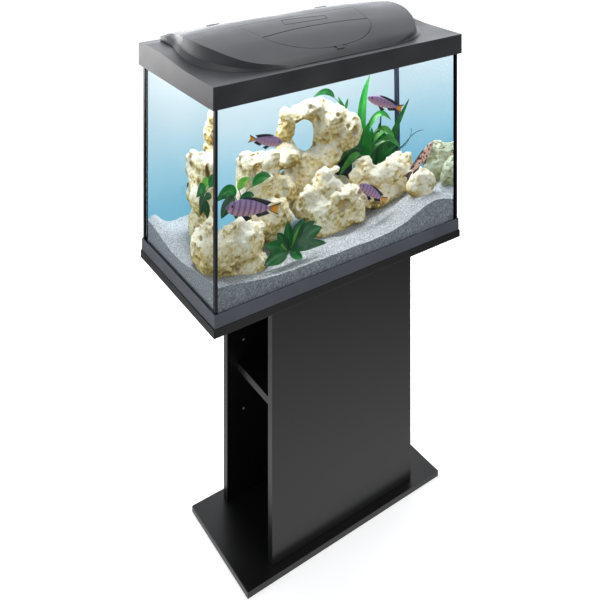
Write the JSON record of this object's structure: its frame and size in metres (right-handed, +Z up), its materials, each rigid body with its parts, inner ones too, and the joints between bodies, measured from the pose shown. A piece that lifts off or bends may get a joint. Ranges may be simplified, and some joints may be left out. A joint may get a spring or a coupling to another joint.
{
  "type": "aquarium with hood and stand",
  "caption": "Hooded glass aquarium with light, internal filter, heater, sand, stones and plants, on a black two-panel pedestal stand with a shelf.",
  "frame": {"origin": "on the floor, under the centre of the tank's and hood's footprint", "axes": "+X to the viewer's right along the tank, +Y to the back, +Z up"},
  "size_m": [0.612, 0.333, 1.029],
  "materials": {
    "black_board": "satin black melamine with matching edge band",
    "shelf_pin_steel": "plain bright steel",
    "trim_plastic": "satin blue-grey plastic",
    "tank_glass": "clear float glass",
    "dark_silicone": "smooth dark silicone",
    "blue_film": "satin blue backdrop film, lighter at the top",
    "anthracite_plastic": "fine-textured anthracite moulding",
    "light_plastic": "white moulding",
    "circuit_board": "white solder mask with light chips",
    "diffuser_plastic": "frosted clear plastic",
    "cable_rubber": "black cable sheath",
    "pin_steel": "plain bright steel",
    "black_plastic": "black moulding",
    "ceramic_shaft": "polished white ceramic",
    "black_rubber": "smooth black rubber",
    "blue_plastic": "blue moulding",
    "filter_foam": "open-cell foam",
    "red_plastic": "red moulding",
    "sand": "fine pale grey sand",
    "limestone": "pitted cream limestone",
    "leaf_green": "satin green leaves"
  },
  "bodies": {
    "tank_and_stand": {"stand_base_board": "black_board", "stand_top_board": "black_board", "stand_front_panel": "black_board", "stand_rear_panel": "black_board", "stand_shelf": "black_board", "shelf_pin_front_left": "shelf_pin_steel", "shelf_pin_front_right": "shelf_pin_steel", "shelf_pin_rear_left": "shelf_pin_steel", "shelf_pin_rear_right": "shelf_pin_steel", "bottom_trim": "trim_plastic", "glass_floor": "tank_glass", "glass_front": "tank_glass", "glass_back": "tank_glass", "glass_left": "tank_glass", "glass_right": "tank_glass", "seam_front_left": "dark_silicone", "seam_front_right": "dark_silicone", "seam_back_left": "dark_silicone", "seam_back_right": "dark_silicone", "background_film": "blue_film", "filter_body": "black_plastic", "pump_head": "black_plastic", "impeller_shaft": "ceramic_shaft", "outlet_nozzle": "black_plastic", "suction_cup": "black_rubber", "heater_tube": "tank_glass", "heater_cap": "black_plastic", "heater_clip": "black_plastic", "heater_cable": "cable_rubber", "pump_cable": "cable_rubber", "sand_bed": "sand", "stone_arch": "limestone", "stone_front_left": "limestone", "stone_mid_left": "limestone", "stone_centre": "limestone", "stone_right_front": "limestone", "stone_right_back": "limestone", "plant_tall": "leaf_green", "plant_front": "leaf_green", "plant_left": "leaf_green", "plant_back": "leaf_green"},
    "hood": {"hood_frame": "anthracite_plastic", "hood_rear_cover": "anthracite_plastic", "rear_clip_left": "anthracite_plastic", "rear_clip_right": "anthracite_plastic", "light_housing": "light_plastic", "led_board": "circuit_board", "light_diffuser": "diffuser_plastic", "light_bracket_left": "anthracite_plastic", "light_bracket_right": "anthracite_plastic", "light_cable": "cable_rubber"},
    "lid": {"hood_lid": "anthracite_plastic", "access_panel": "anthracite_plastic", "flap_hinge_pin": "pin_steel"},
    "flap": {"feeding_flap": "anthracite_plastic"},
    "impeller": {"impeller": "black_plastic"},
    "flow_knob": {"flow_knob": "blue_plastic"},
    "cartridge": {"filter_cartridge": "filter_foam"},
    "heater_dial": {"heater_dial": "red_plastic"}
  },
  "joints": [
    {"name": "hood_lift", "type": "slide", "parent": "tank_and_stand", "child": "hood", "axis": [0, 0, 1], "range_m": [0, 0.06]},
    {"name": "lid_hinge", "type": "hinge", "parent": "hood", "child": "lid", "pos_m": [0, 0.0305, 1.0293], "axis": [-1, 0, 0], "range_deg": [0, 95]},
    {"name": "flap_hinge", "type": "hinge", "parent": "lid", "child": "flap", "pos_m": [0, -0.0525, 1.0173], "axis": [-1, 0, 0], "range_deg": [0, 95]},
    {"name": "impeller_spin", "type": "hinge", "parent": "tank_and_stand", "child": "impeller", "pos_m": [0.066, 0.1149, 0.653], "axis": [0, 0, 1], "continuous": true},
    {"name": "flow_knob_turn", "type": "hinge", "parent": "tank_and_stand", "child": "flow_knob", "pos_m": [0.075, 0.1269, 0.714], "axis": [0, 0, 1], "range_deg": [0, 180]},
    {"name": "heater_dial_turn", "type": "hinge", "parent": "tank_and_stand", "child": "heater_dial", "pos_m": [0.034, 0.133, 0.668], "axis": [1, 0, 0], "range_deg": [0, 270]},
    {"name": "cartridge_slide", "type": "slide", "parent": "tank_and_stand", "child": "cartridge", "axis": [0, 0, 1], "range_m": [0, 0.088]}
  ]
}
